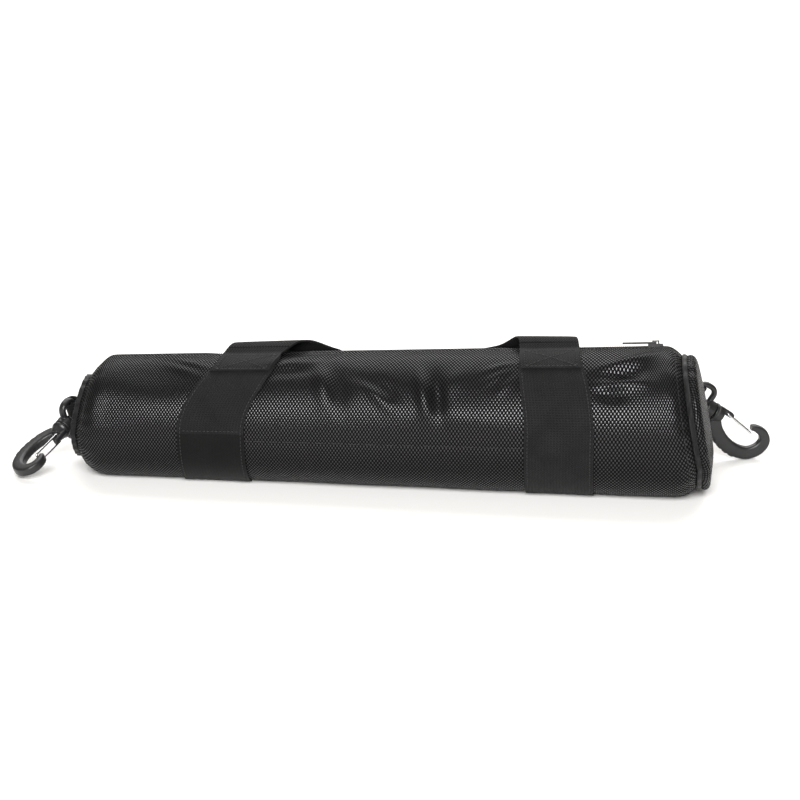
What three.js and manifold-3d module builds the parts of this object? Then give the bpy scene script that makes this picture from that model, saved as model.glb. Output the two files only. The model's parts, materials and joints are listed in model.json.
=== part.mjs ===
// Padded drawing tube: a soft, tapered carrying case for rolled drawings, lying on its side.
// Millimetres, +Z up. The origin is on the floor, under the middle of the case; +X runs along
// the case towards its fuller end, and -Y is the front.
import * as THREE from 'three';
import { mergeVertices } from 'three/addons/utils/BufferGeometryUtils.js';
import Module from 'manifold-3d';

const wasm = await Module();
wasm.setup();

// ---- Driving dimensions -------------------------------------------------------------------
const SEAM_X = 226.5;           // end seams, to each side of the middle
const LEFT_RADIUS = 43.5;      // outside of the cover at the left seam, before the tuck
const RIGHT_RADIUS = 55;
const SAG = 2.5;               // how far the underside is pressed flat
const TUCK_START_X = { left: 203, right: 208 };  // from here to the seam the cover curves in
const TUCK = { left: 0.3, right: 0.13 };         // share of the radius lost at the seam
const GAP = 0.3;               // running gap between neighbouring pieces

const COVER_T = 1.2;
const FOAM_T = 5;
const LINING_T = 0.8;
const FOAM_DEPTH = COVER_T + GAP;
const LINING_DEPTH = FOAM_DEPTH + FOAM_T + GAP;
const POCKET_DEPTH = LINING_DEPTH + LINING_T + GAP;

const ZIP_ANGLE = 110;         // around the case, 0 at the front and 90 at the top
const ZIP_HALF_X = 205;        // half the length of the teeth
const TAPE_T = 0.8;
const COIL_W = 2.4;
const COIL_H = 1.5;
const SLIT_HALF = 11;          // degrees from the zip's centre line to the cover's cut edge
const TAPE_DEPTH = COVER_T;    // the tapes lie level with the cover's underside

const WEB_T = 1.5;             // webbing thickness
const WEB_W = 49;
const BAND_X = { left: -123, right: 128.5 };
const BAND_LEAN = { left: 24, right: -10 };
const BAND_TOP = 88;           // where a front band ends and its handle leaves the case
const BACK_TOP = 132;
const LEAN_START = 5;
const OVERLAP_ANGLE = 2;       // where the left band's two lengths of webbing meet

const STEP_ALPHA = 12;         // degrees between facets around the case

const BLACK = 0x121214;
const CLOTH = { color: BLACK, roughness: 0.8, metalness: 0 };
const WEBBING = { color: 0x17171a, roughness: 0.9, metalness: 0 };
const PLASTIC = { color: 0x1b1b1d, roughness: 0.45, metalness: 0 };
const STEEL = { color: 0xb9babd, roughness: 0.3, metalness: 1 };
const FOAM = { color: 0x3a3a3c, roughness: 1, metalness: 0 };
const LINING = { color: 0x2c2d31, roughness: 0.7, metalness: 0 };

const group = new THREE.Group();

function add(name, geometry, look, parent = group) {
  const mesh = new THREE.Mesh(geometry, new THREE.MeshStandardMaterial(look));
  mesh.name = name;
  parent.add(mesh);
  return mesh;
}

const radians = THREE.MathUtils.degToRad;
const clamp = THREE.MathUtils.clamp;
const lerp = THREE.MathUtils.lerp;
const smooth = THREE.MathUtils.smoothstep;

// ---- The case's surface -------------------------------------------------------------------
function taper(x) {
  return lerp(LEFT_RADIUS, RIGHT_RADIUS, (x + SEAM_X) / (2 * SEAM_X));
}

function coverRadius(x) {
  const side = x < 0 ? 'left' : 'right';
  const t = clamp((Math.abs(x) - TUCK_START_X[side]) / (SEAM_X - TUCK_START_X[side]), 0, 1);
  return taper(x) * (1 - TUCK[side] * t ** 3);
}

function axisHeight(x) {
  return taper(x) - SAG;
}

/** Point at x, `alpha` degrees around and `depth` inside the cover; nothing goes below `floor`. */
function onCase(x, alpha, depth, floor) {
  const r = coverRadius(x) - depth;
  const a = radians(alpha);
  const z = axisHeight(x) + r * Math.sin(a);
  return new THREE.Vector3(x, -r * Math.cos(a), Math.max(z, floor));
}

/** Angles from one to the other, on whole facets between, so that nested layers keep parallel facets. */
function facets(from, to) {
  const first = Math.ceil((from + 1) / STEP_ALPHA);
  const last = Math.floor((to - 1) / STEP_ALPHA);
  const inner = Array.from({ length: last - first + 1 }, (_, i) => (first + i) * STEP_ALPHA);
  return [from, ...inner, to];
}

// ---- Mesh helpers -------------------------------------------------------------------------
function signedVolume(position, index) {
  const p = (i) => new THREE.Vector3().fromArray(position, 3 * i);
  let total = 0;
  for (let i = 0; i < index.length; i += 3) {
    total += p(index[i]).dot(p(index[i + 1]).cross(p(index[i + 2])));
  }
  return total;
}

/** Sheet between two surfaces: pointAt(u, v, side) with side 0 outside and 1 inside. */
function sheet(us, vs, pointAt) {
  const at = (i, j, side) => (side * us.length + i) * vs.length + j;
  const position = [0, 1].flatMap((side) =>
    us.flatMap((u) => vs.flatMap((v) => pointAt(u, v, side).toArray())));
  const index = [];
  const quad = (a, b, c, d) => index.push(a, b, c, a, c, d);
  const lastU = us.length - 1;
  const lastV = vs.length - 1;
  for (let i = 0; i < lastU; i++) {
    for (let j = 0; j < lastV; j++) {
      quad(at(i, j, 0), at(i + 1, j, 0), at(i + 1, j + 1, 0), at(i, j + 1, 0));
      quad(at(i, j, 1), at(i, j + 1, 1), at(i + 1, j + 1, 1), at(i + 1, j, 1));
    }
    quad(at(i, 0, 0), at(i, 0, 1), at(i + 1, 0, 1), at(i + 1, 0, 0));
    quad(at(i, lastV, 0), at(i + 1, lastV, 0), at(i + 1, lastV, 1), at(i, lastV, 1));
  }
  for (let j = 0; j < lastV; j++) {
    quad(at(0, j, 0), at(0, j + 1, 0), at(0, j + 1, 1), at(0, j, 1));
    quad(at(lastU, j, 0), at(lastU, j, 1), at(lastU, j + 1, 1), at(lastU, j + 1, 0));
  }
  if (signedVolume(position, index) < 0) index.reverse();
  const geometry = new THREE.BufferGeometry();
  geometry.setAttribute('position', new THREE.Float32BufferAttribute(position, 3));
  geometry.setIndex(index);
  geometry.computeVertexNormals();
  return geometry;
}

/** Turned piece about +X from [x, radius] points. */
function turned(profile, segments = 28) {
  const geometry = new THREE.LatheGeometry(profile.map(([x, r]) => new THREE.Vector2(r, x)), segments);
  geometry.rotateZ(-Math.PI / 2);
  return facingOut(geometry);
}

function facingOut(source) {
  const geometry = source.clone();
  geometry.deleteAttribute('normal');
  geometry.deleteAttribute('uv');
  const merged = mergeVertices(geometry, 1e-4);
  const index = Array.from(merged.index.array);
  if (signedVolume(merged.attributes.position.array, index) < 0) index.reverse();
  merged.setIndex(index);
  return merged;
}

function toSolid(source) {
  const geometry = facingOut(source);
  const mesh = new wasm.Mesh({
    numProp: 3,
    vertProperties: new Float32Array(geometry.attributes.position.array),
    triVerts: new Uint32Array(geometry.index.array),
  });
  return new wasm.Manifold(mesh);
}

function fromSolid(solid) {
  const { vertProperties, triVerts } = solid.getMesh();
  const geometry = new THREE.BufferGeometry();
  geometry.setAttribute('position', new THREE.BufferAttribute(vertProperties, 3));
  geometry.setIndex(new THREE.BufferAttribute(triVerts, 1));
  geometry.computeVertexNormals();
  return geometry;
}

function joined(...pieces) {
  return fromSolid(pieces.map(toSolid).reduce((a, b) => a.add(b)));
}

// ---- Cover, padding and lining ------------------------------------------------------------
const CUT_FRONT = ZIP_ANGLE - SLIT_HALF;
const CUT_BACK = ZIP_ANGLE + SLIT_HALF - 360;
const TUCK_STEPS = [0, 0.3, 0.55, 0.8, 1];
const endStations = [...tuckStations('left').toReversed(), ...tuckStations('right')];

/** Stations along one end's curve, from its start out to the seam. */
function tuckStations(side) {
  const sign = side === 'left' ? -1 : 1;
  return TUCK_STEPS.map((t) => sign * lerp(TUCK_START_X[side], SEAM_X, t));
}

/** Height of the webbing's hollow in the underside: the case rests on its two bands. */
function hollow(x) {
  const near = (side) => Math.abs(x - BAND_X[side]) < WEB_W / 2 + 1;
  return near('left') || near('right') ? WEB_T + GAP : 0;
}

function bandStations() {
  const edges = Object.values(BAND_X).flatMap((centre) => [-1, 1].flatMap((side) =>
    [centre + side * (WEB_W / 2 + 0.8), centre + side * (WEB_W / 2 + 2)]));
  return [...endStations, ...edges].sort((a, b) => a - b);
}

function makeCover() {
  const around = facets(CUT_BACK, CUT_FRONT);
  add('cover', sheet(bandStations(), around, (x, alpha, side) =>
    onCase(x, alpha, side * COVER_T, hollow(x) + side * COVER_T)), CLOTH);
}

function makeLayer(name, depth, thickness, cut, look) {
  const around = facets(CUT_BACK + cut, CUT_FRONT - cut);
  const rise = WEB_T + GAP;
  add(name, sheet(endStations, around, (x, alpha, side) =>
    onCase(x, alpha, depth + side * thickness, depth + side * thickness + rise)), look);
}

function makePocket() {
  const across = [-104, 104];
  const around = facets(-14, 50);
  add('slip_pocket', sheet(across, around, (x, alpha, side) =>
    onCase(x, alpha, POCKET_DEPTH + side * LINING_T, 0)), LINING);
}

// ---- End caps -----------------------------------------------------------------------------
const CAP_SEGMENTS = 24;
const CAP_FROM = 3.7;          // the cap's cloth starts this far beyond the seam
const CAP_T = 1;
const CAP_BULGE = { left: 2.5, right: 1.6 };
const BINDING_PROUD = 1.4;

/** Frame at an end seam's centre with +X pointing out of the case, and the seam's radius. */
function endFrame(side) {
  const sign = side === 'left' ? -1 : 1;
  const end = new THREE.Group();
  end.position.set(sign * SEAM_X, 0, axisHeight(sign * SEAM_X));
  if (sign < 0) end.rotation.z = Math.PI;
  end.updateMatrixWorld();
  return { end, rim: coverRadius(sign * SEAM_X) };
}

/** Solid that fills an end of the case out to just clear of its cap. */
function endClearance(side) {
  const { end, rim } = endFrame(side);
  const face = CAP_FROM + CAP_T + GAP;
  const bulge = CAP_BULGE[side];
  const inset = 40;
  const sign = Math.sign(end.position.x);
  const flank = [sign * (SEAM_X - inset), ...tuckStations(side)].map((x) =>
    [Math.abs(x) - SEAM_X, coverRadius(x) + 2 * GAP]);
  const profile = [[-inset, 0], ...flank, [0.2, rim + BINDING_PROUD + GAP], [face, rim + BINDING_PROUD + GAP],
    [face, rim - 1], [face + bulge * 0.6, rim * 0.8], [face + bulge, rim * 0.4], [face + bulge, 0]];
  return toSolid(turned(profile, CAP_SEGMENTS).applyMatrix4(end.matrixWorld));
}

function makeEnd(side) {
  const { end, rim } = endFrame(side);
  group.add(end);
  const disc = (name, from, thickness, radius, bulge, look) => {
    const face = (x) => [[x, radius], [x + bulge * 0.6, radius * 0.8], [x + bulge, radius * 0.4], [x + bulge, 0]];
    const front = face(from + thickness);
    add(`${side}_${name}`, turned([...front, ...face(from).reverse(), front[0]], CAP_SEGMENTS), look, end);
  };
  const liner = [[GAP + LINING_T, 0], [GAP + LINING_T, rim - 2.5], [GAP, rim - 2.5], [GAP, 0]];
  add(`${side}_cap_lining`, turned(liner, CAP_SEGMENTS), LINING, end);
  disc('cap_padding', 1.4, 2, rim - 2.2, CAP_BULGE[side], FOAM);
  disc('cap_cover', CAP_FROM, CAP_T, rim - 1.6, CAP_BULGE[side], CLOTH);
  const binding = [[0.5, rim - 1.2], [0.5, rim + 0.4], [1.7, rim + BINDING_PROUD], [3.6, rim + BINDING_PROUD],
    [4.8, rim + 0.4], [4.8, rim - 1.2], [0.5, rim - 1.2]];
  add(`${side}_seam_binding`, turned(binding, CAP_SEGMENTS), WEBBING, end);
}

// ---- Zip ----------------------------------------------------------------------------------
/** Point near the zip: `along` in x, `across` mm from its centre line (+ to the back), `up` above the tapes. */
function onZip(along, across, up) {
  const base = onCase(along, ZIP_ANGLE, TAPE_DEPTH, 0);
  const a = radians(ZIP_ANGLE);
  const outward = new THREE.Vector3(0, -Math.cos(a), Math.sin(a));
  const backward = new THREE.Vector3(0, Math.sin(a), Math.cos(a));
  return base.addScaledVector(outward, up).addScaledVector(backward, across);
}

function zipBlock(fromX, toX, acrossFrom, acrossTo, upFrom, upTo) {
  return sheet([fromX, toX], [acrossFrom, acrossTo], (x, across, side) =>
    onZip(x, across, side ? upFrom : upTo));
}

const SLIDER_X = 194;
const SLIDER_LEN = 11;
const SLIDER_HALF_W = 4.4;

function makeZip() {
  for (const [name, sign] of [['front', -1], ['back', 1]]) {
    const around = [0.45, 5, SLIT_HALF - 0.8].map((turn) => ZIP_ANGLE + sign * turn);
    add(`${name}_zip_tape`, sheet([-ZIP_HALF_X, ZIP_HALF_X], around, (x, alpha, side) =>
      onCase(x, alpha, TAPE_DEPTH + side * TAPE_T, 0)), CLOTH);
    const coil = [0.3, 0.3 + COIL_W].map((w) => sign * w);
    add(`${name}_zip_coil`, zipBlock(-ZIP_HALF_X + 3, ZIP_HALF_X - 3, ...coil, GAP, GAP + COIL_H), PLASTIC);
  }
  for (const [side, sign] of [['left', -1], ['right', 1]]) {
    const curve = tuckStations(side).filter((x) => Math.abs(x) > ZIP_HALF_X + 1);
    const xs = [sign * (ZIP_HALF_X + 0.6), ...curve];
    const around = facets(CUT_FRONT + 0.6, ZIP_ANGLE + SLIT_HALF - 0.6);
    add(`${side}_zip_end_patch`, sheet(xs, around, (x, alpha, face) =>
      onCase(x, alpha, face * COVER_T, 0)), CLOTH);
  }
}

function makeSlider() {
  const from = SLIDER_X - SLIDER_LEN / 2;
  const to = SLIDER_X + SLIDER_LEN / 2;
  const roof = COIL_H + 2 * GAP;
  const half = SLIDER_HALF_W;
  const inner = COIL_W + 2 * GAP;
  const lid = zipBlock(from, to, -half, half, roof, roof + 1.1);
  const walls = [[-half, -inner], [inner, half]].map(([a, b]) =>
    zipBlock(from, to, a, b, GAP, roof + 0.5));
  const posts = [-2.6, 1.6].map((x) =>
    zipBlock(SLIDER_X + x, SLIDER_X + x + 1, -0.9, 0.9, roof + 0.8, roof + 3.6));
  const bridge = zipBlock(SLIDER_X - 2.6, SLIDER_X + 2.6, -0.9, 0.9, roof + 2.8, roof + 3.7);
  add('zip_slider', joined(lid, ...walls, ...posts, bridge), STEEL);
}

function makePuller() {
  const base = COIL_H + 2 * GAP + 1.1 + GAP;
  const thick = 1.1;
  const sides = [[-3, -1.3], [1.3, 3]].map(([a, b]) =>
    zipBlock(SLIDER_X - 7, SLIDER_X + 0.6, a, b, base, base + thick));
  const root = zipBlock(SLIDER_X - 0.6, SLIDER_X + 0.6, -3, 3, base, base + thick);
  const blade = zipBlock(SLIDER_X - 24, SLIDER_X - 4, -3, 3, base, base + thick);
  add('zip_puller', joined(...sides, root, blade), STEEL);
}

// ---- Webbing bands and handles ------------------------------------------------------------
const BAND_OUT = -(WEB_T + GAP);

function bandCentre(side, alpha) {
  return BAND_X[side] + BAND_LEAN[side] * smooth(alpha, LEAN_START, BAND_TOP);
}

function makeBand(name, side, from, to, lift = 0) {
  const around = facets(from, to);
  const half = (alpha) => WEB_W / 2 - 3 * smooth(alpha, 40, BAND_TOP);
  add(name, sheet([-1, 0, 1], around, (u, alpha, face) => onCase(
    bandCentre(side, alpha) + u * half(alpha), alpha,
    (face ? -GAP : BAND_OUT) - lift, face ? WEB_T : 0)), WEBBING);
}

/** Point on a handle: `reach` mm past the hinge line at `root` degrees, standing `lift` off the cover. */
function onHandle(x, root, reach, lift) {
  const alpha = root + (reach / taper(x)) * (180 / Math.PI);
  if (alpha <= 180) return onCase(x, alpha, -lift, 0);
  const hang = radians(alpha - 180) * taper(x);
  return onCase(x, 180, -lift, 0).add(new THREE.Vector3(0, 0, -hang));
}

/** Strap along edges given as [outerX, outerReach, innerX, innerReach] stations. */
function strap(stations, root, liftAt) {
  return sheet(stations, [0, 0.5, 1], ([x0, s0, x1, s1], v, face) => {
    const reach = lerp(s0, s1, v);
    return onHandle(lerp(x0, x1, v), root, reach, liftAt(reach) + (face ? 0 : WEB_T));
  });
}

const FOLD_REACH = 27;         // from a front band's top to the fold at the back of the zip
const frontLift = (reach) => lerp(GAP + 1.8, 7.6, smooth(reach, 0, 12));

function makeFrontHandle() {
  const leftLeg = [[-121, 0.4, -77.5, 0.4], [-116, 9, -68, 9], [-109, 18, -56, 18],
    [-100, FOLD_REACH, -41, FOLD_REACH]];
  const rightLeg = [[140, 0.4, 97, 0.4], [138, 9, 95.5, 9], [134, 18, 91, 18],
    [125.5, FOLD_REACH, 79, FOLD_REACH]];
  const start = FOLD_REACH + 0.6;
  const grip = [[-99.5, start, -40.5, start], [-88, 41, -36, 33], [-70, 58, -29, 38], [-43, 72, -19, 41],
    [-11, 80, -4, 42], [22, 80, 20, 42], [54, 72, 38, 40], [80, 58, 54, 37], [101, 41, 66, 33],
    [125, start, 78.5, start]];
  const dip = (reach) => frontLift(reach) - 2.2 * smooth(reach, FOLD_REACH + 8, 60);
  add('front_handle_left_leg', strap(leftLeg, BAND_TOP, frontLift), WEBBING);
  add('front_handle_right_leg', strap(rightLeg, BAND_TOP, frontLift), WEBBING);
  add('front_handle_grip', strap(grip, BAND_TOP, dip), WEBBING);
}

const backLift = (reach) => lerp(GAP + 1.8, 4.5, smooth(reach, 0, 8));

function makeBackHandle() {
  const path = [[-147, 0.4, -100, 0.4], [-146, 12, -100, 10], [-141, 28, -98, 20], [-127, 46, -89, 30],
    [-102, 62, -73, 38], [-66, 72, -49, 43], [-22, 76, -18, 46], [26, 76, 22, 46], [70, 72, 53, 43],
    [106, 62, 77, 38], [131, 46, 94, 30], [146, 28, 103, 20], [152, 12, 105.5, 10], [152.5, 0.4, 106, 0.4]];
  add('back_handle', strap(path, BACK_TOP, backLift), WEBBING);
}

// ---- Tabs and swivel hooks ----------------------------------------------------------------
const TAB_W = 24;
const TAB_LEN = 24;            // before it is trimmed where it is sewn to the case
const EYE_BACK = 20.5;         // from the swivel face back to the middle of the eye's bar
const EYE_T = 5.6;
const HOOK_T = 7;

/** Where each hook hangs: its eye's bar, swivel axis and turn, and the way its tab points. */
const HANGERS = {
  left: { bar: [-240, 24, 34], axis: [-0.33, -0.865, -0.38], turn: -76, tabOut: [-1, 0, 0] },
  right: { bar: [222, 63, 49.8], axis: [0.816, 0.206, -0.54], turn: 0, tabOut: [0, 1, 0] },
};

function hangerFrame({ bar, axis }) {
  const down = new THREE.Vector3(...axis).normalize();
  const up = new THREE.Vector3(0, 0, 1).addScaledVector(down, -down.z).normalize();
  const out = new THREE.Vector3().crossVectors(down, up);
  const frame = new THREE.Group();
  frame.quaternion.setFromRotationMatrix(new THREE.Matrix4().makeBasis(down, up, out));
  frame.position.set(...bar);
  group.add(frame);
  return { frame, down, up };
}

function roundedRect(width, height, radius) {
  const w = width / 2 - radius;
  const h = height / 2 - radius;
  const shape = new THREE.Path();
  shape.absarc(w, h, radius, 0, Math.PI / 2);
  shape.absarc(-w, h, radius, Math.PI / 2, Math.PI);
  shape.absarc(-w, -h, radius, Math.PI, 1.5 * Math.PI);
  shape.absarc(w, -h, radius, 1.5 * Math.PI, 2 * Math.PI);
  return shape;
}

function extruded(outline, holes, thickness, bevel, curveSegments = 5) {
  const shape = new THREE.Shape(outline);
  shape.holes = holes;
  const geometry = new THREE.ExtrudeGeometry(shape, {
    depth: thickness - 2 * bevel, bevelEnabled: bevel > 0, bevelThickness: bevel,
    bevelSize: bevel, bevelOffset: -bevel, bevelSegments: 1, curveSegments,
  });
  geometry.translate(0, 0, -thickness / 2 + bevel);
  return geometry;
}

/** Folded webbing tab: a flat loop around the eye's bar, sewn together at its root. */
function makeTab(side, spec, up) {
  const out = new THREE.Vector3(...spec.tabOut);
  out.addScaledVector(up, -out.dot(up)).normalize();
  const across = new THREE.Vector3().crossVectors(out, up);
  const frame = new THREE.Group();
  frame.quaternion.setFromRotationMatrix(new THREE.Matrix4().makeBasis(out, across.negate(), up));
  frame.position.set(...spec.bar);
  frame.updateMatrixWorld();
  const loop = (radius, root, neck) => {
    const path = new THREE.Path();
    path.moveTo(-root, -neck);
    path.lineTo(-radius * 0.9, -radius);
    path.absarc(0, 0, radius, -Math.PI / 2, Math.PI / 2);
    path.lineTo(-radius * 0.9, radius);
    path.lineTo(-root, neck);
    path.closePath();
    return path;
  };
  const outline = loop(5.4, TAB_LEN, 1.6).getPoints(8);
  const hole = loop(4, 6.4, 1.8);
  const webbing = extruded(outline, [hole], TAB_W, 0, 8).applyMatrix4(frame.matrixWorld);
  add(`${side}_tab`, fromSolid(toSolid(webbing).subtract(endClearance(side))), WEBBING);
}

function makeEye(side, frame) {
  const ring = extruded(roundedRect(17, 34, 7).getPoints(4), [roundedRect(8.4, 26, 1.5)], EYE_T, 0.8, 4);
  ring.translate(6.5, 0, 0);
  const collar = turned([[11, 0], [11, 5.5], [12.6, 6.8], [19, 6.8], [19, 0]], 20);
  const bore = turned([[8, 0], [8, 2.9], [20, 2.9], [20, 0]], 16);
  const eye = toSolid(ring).add(toSolid(collar)).subtract(toSolid(bore));
  add(`${side}_hook_eye`, fromSolid(eye), PLASTIC, frame);
}

/** Spine centre line and half widths, from the swivel face (x) and off its axis (y, + upwards). */
const SPINE = [[4.5, -5, 5.4], [10, -10.8, 5.6], [20, -15.6, 5.4], [31, -17, 5.2], [41, -14.2, 4.8],
  [47, -7.6, 4.7], [48, 0.2, 4.4], [43.5, 5, 3.6], [37, 5.6, 2.7], [33, 4.2, 1.9]];

const SPINE_STEPS = 22;

function spineOutline() {
  const path = new THREE.SplineCurve(SPINE.map(([x, y]) => new THREE.Vector2(x, y)));
  const widths = new THREE.SplineCurve(SPINE.map(([, , w], i) => new THREE.Vector2(i, w)));
  const steps = Array.from({ length: SPINE_STEPS + 1 }, (_, i) => i / SPINE_STEPS);
  const edge = (sign) => steps.map((t) => {
    const tangent = path.getTangent(t);
    const normal = new THREE.Vector2(-tangent.y, tangent.x);
    return path.getPoint(t).addScaledVector(normal, sign * widths.getPoint(t).y);
  });
  return [...edge(-1), ...edge(1).reverse()];
}

const GATE_PIVOT = [10.5, 4.2];
const GATE_TIP = [34.6, 0.6];
const GATE_HALF = 3.2;
const WIRE_R = 0.8;
const WIRE_END = 0.7;          // the gate's ends reach this close to the stub's middle plane

function makeHook(side, frame) {
  const spine = extruded(spineOutline(), [], HOOK_T, 1.2);
  const flange = turned([[0, 0], [0, 7.2], [2.4, 7.2], [3.2, 6.4], [8, 5.6], [8, 0]], 20);
  const pin = turned([[-12.4, 0], [-12.4, 3.6], [-10.9, 3.6], [-10.9, 2.5], [0.5, 2.5], [0.5, 0]], 16);
  const stub = extruded(roundedRect(13, 4.4, 1.8).getPoints(3), [], 4.2, 0.6);
  stub.translate(9.5, 4.4, 0);
  const hook = [spine, flange, pin, stub].map(toSolid).reduce((a, b) => a.add(b));
  const arm = extruded(roundedRect(30, 3, 1.2).getPoints(3), [], 2 * WIRE_R + 4 * GAP, 0);
  arm.rotateZ(Math.atan2(GATE_TIP[1] - GATE_PIVOT[1], GATE_TIP[0] - GATE_PIVOT[0]));
  const clear = [-1, 1].map((s) => arm.clone().translate(
    (GATE_PIVOT[0] + GATE_TIP[0]) / 2, (GATE_PIVOT[1] + GATE_TIP[1]) / 2, s * GATE_HALF));
  const pivot = new THREE.CylinderGeometry(WIRE_R + GAP, WIRE_R + GAP, 2 * HOOK_T, 12).rotateX(Math.PI / 2);
  pivot.translate(...GATE_PIVOT, 0);
  const cut = [...clear, pivot].map(toSolid).reduce((a, b) => a.add(b));
  add(`${side}_hook_body`, fromSolid(hook.subtract(cut)), PLASTIC, frame);
}

function makeGate(side, frame) {
  const [px, py] = GATE_PIVOT;
  const [tx, ty] = GATE_TIP;
  const round = 1.3;
  const slope = new THREE.Vector3(tx - px, ty - py, 0).normalize();
  const across = new THREE.Vector3(0, 0, 1);
  const at = (x, y, z) => new THREE.Vector3(x, y, z);
  const corners = [at(px, py, -WIRE_END), at(px, py, -GATE_HALF), at(tx, ty, -GATE_HALF),
    at(tx, ty, GATE_HALF), at(px, py, GATE_HALF), at(px, py, WIRE_END)];
  const ways = [across.clone().negate(), slope, across, slope.clone().negate(), across.clone().negate()];
  const line = new THREE.CurvePath();
  let start = corners[0];
  for (let i = 1; i < corners.length - 1; i++) {
    const before = corners[i].clone().addScaledVector(ways[i - 1], -round);
    const after = corners[i].clone().addScaledVector(ways[i], round);
    line.add(new THREE.LineCurve3(start, before));
    line.add(new THREE.QuadraticBezierCurve3(before, corners[i], after));
    start = after;
  }
  line.add(new THREE.LineCurve3(start, corners.at(-1)));
  const section = new THREE.Shape(new THREE.Path().absarc(0, 0, WIRE_R, 0, 2 * Math.PI)
    .getPoints(4).slice(0, -1));
  const wire = new THREE.ExtrudeGeometry(section, { steps: 34, extrudePath: line, bevelEnabled: false });
  add(`${side}_wire_gate`, facingOut(wire), STEEL, frame);
}

function makeHanger(side) {
  const spec = HANGERS[side];
  const { frame, up } = hangerFrame(spec);
  makeTab(side, spec, up);
  makeEye(side, frame);
  const swivel = new THREE.Group();
  swivel.position.x = EYE_BACK - 1;
  swivel.rotation.x = radians(spec.turn);
  frame.add(swivel);
  makeHook(side, swivel);
  makeGate(side, swivel);
}

// ---- Assembly -----------------------------------------------------------------------------
makeCover();
makeLayer('padding', FOAM_DEPTH, FOAM_T, 3.5, FOAM);
makeLayer('lining', LINING_DEPTH, LINING_T, 5, LINING);
makePocket();
makeEnd('left');
makeEnd('right');
makeZip();
makeSlider();
makePuller();
makeBand('left_lower_band', 'left', BACK_TOP - 360, OVERLAP_ANGLE);
makeBand('left_upper_band', 'left', OVERLAP_ANGLE + 1, BAND_TOP);
makeBand('right_band', 'right', BACK_TOP - 360, BAND_TOP);
makeFrontHandle();
makeBackHandle();
makeHanger('left');
makeHanger('right');

export default group;
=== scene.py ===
"""Looks of the padded drawing tube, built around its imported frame, in Blender 4.5.

Lengths are millimetres until a mesh is made. Angles around the case are degrees, 0 at the front and
90 at the top, as the frame has them.
"""

import json
import math

import bmesh
import bpy
import numpy as np
from mathutils import Matrix, Vector


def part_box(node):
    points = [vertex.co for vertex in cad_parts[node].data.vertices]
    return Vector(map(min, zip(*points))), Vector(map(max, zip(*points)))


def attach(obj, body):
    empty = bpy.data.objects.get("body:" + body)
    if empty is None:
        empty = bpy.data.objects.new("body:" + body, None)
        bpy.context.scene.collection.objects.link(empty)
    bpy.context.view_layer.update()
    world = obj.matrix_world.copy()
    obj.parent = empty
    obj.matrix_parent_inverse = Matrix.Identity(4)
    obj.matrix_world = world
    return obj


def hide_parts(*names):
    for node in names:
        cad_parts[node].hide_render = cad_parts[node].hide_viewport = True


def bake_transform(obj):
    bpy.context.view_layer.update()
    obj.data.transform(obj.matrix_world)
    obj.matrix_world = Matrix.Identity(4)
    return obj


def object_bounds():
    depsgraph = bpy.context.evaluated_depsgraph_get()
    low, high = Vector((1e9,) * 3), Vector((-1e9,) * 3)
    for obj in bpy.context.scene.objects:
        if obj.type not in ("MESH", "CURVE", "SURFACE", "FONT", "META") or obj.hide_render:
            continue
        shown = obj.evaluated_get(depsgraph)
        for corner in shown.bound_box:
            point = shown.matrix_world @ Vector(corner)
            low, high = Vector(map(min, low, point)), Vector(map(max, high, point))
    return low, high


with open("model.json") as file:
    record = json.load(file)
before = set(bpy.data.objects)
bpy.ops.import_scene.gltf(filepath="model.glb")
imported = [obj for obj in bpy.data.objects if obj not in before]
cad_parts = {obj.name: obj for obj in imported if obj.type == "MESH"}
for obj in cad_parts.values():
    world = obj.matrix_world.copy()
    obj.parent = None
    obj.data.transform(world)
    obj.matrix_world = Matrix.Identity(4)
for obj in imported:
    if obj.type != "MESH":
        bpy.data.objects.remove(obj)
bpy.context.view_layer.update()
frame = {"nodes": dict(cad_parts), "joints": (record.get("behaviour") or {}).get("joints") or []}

MM = 0.001
JOINTS = {joint["name"]: joint for joint in frame["joints"]}

# ---- Driving dimensions ----
SEAM_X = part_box("cover")[1].x / MM
TUCK_START = {"left": 203, "right": 208}
TUCK = {"left": 0.3, "right": 0.13}     # share of the radius lost at an end seam
CAP_INSET = 1.6                 # the caps' cloth is this much smaller than the seam's radius
SAG = 2.5                       # how far the underside is pressed flat
GAP = 0.3
COVER_T = 1.2
FOAM_T = 5
LINING_T = 0.8
FOAM_DEPTH = COVER_T + GAP
LINING_DEPTH = FOAM_DEPTH + FOAM_T + GAP
POCKET_DEPTH = LINING_DEPTH + LINING_T + GAP

ZIP_ANGLE = 110
ZIP_HALF_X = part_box("front_zip_tape")[1].x / MM
SLIT_HALF = 10.8
TAPE_DEPTH = COVER_T
TAPE_T = 0.8

WEB_T = 1.5
WEB_W = 49
BAND_X = {"left": -123, "right": 128.5}
BAND_LEAN = {"left": 24, "right": -10}
BAND_NARROWS = 3                # how much of its half width a band loses on its way to the top
BAND_TOP = 88                   # where the front handle leaves the case
BACK_TOP = 132                  # where the back handle leaves it
LEAN_START = 5
OVERLAP_ANGLE = 2               # the left band's two lengths of webbing meet here
FOLD_REACH = 27.3               # how far past its hinge line the front handle folds

WEAVE_PITCH = (2.45, 3.7)       # of the cover's basket weave, along the case and around it


SIGN = {"left": -1, "right": 1}


def seam_radius(side):
    low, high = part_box(f"{side}_cap_cover")
    return (high.y - low.y) / 2 / MM + CAP_INSET


LEFT_RADIUS = seam_radius("left") / (1 - TUCK["left"])
RIGHT_RADIUS = seam_radius("right") / (1 - TUCK["right"])
MID_RADIUS = (LEFT_RADIUS + RIGHT_RADIUS) / 2


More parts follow.
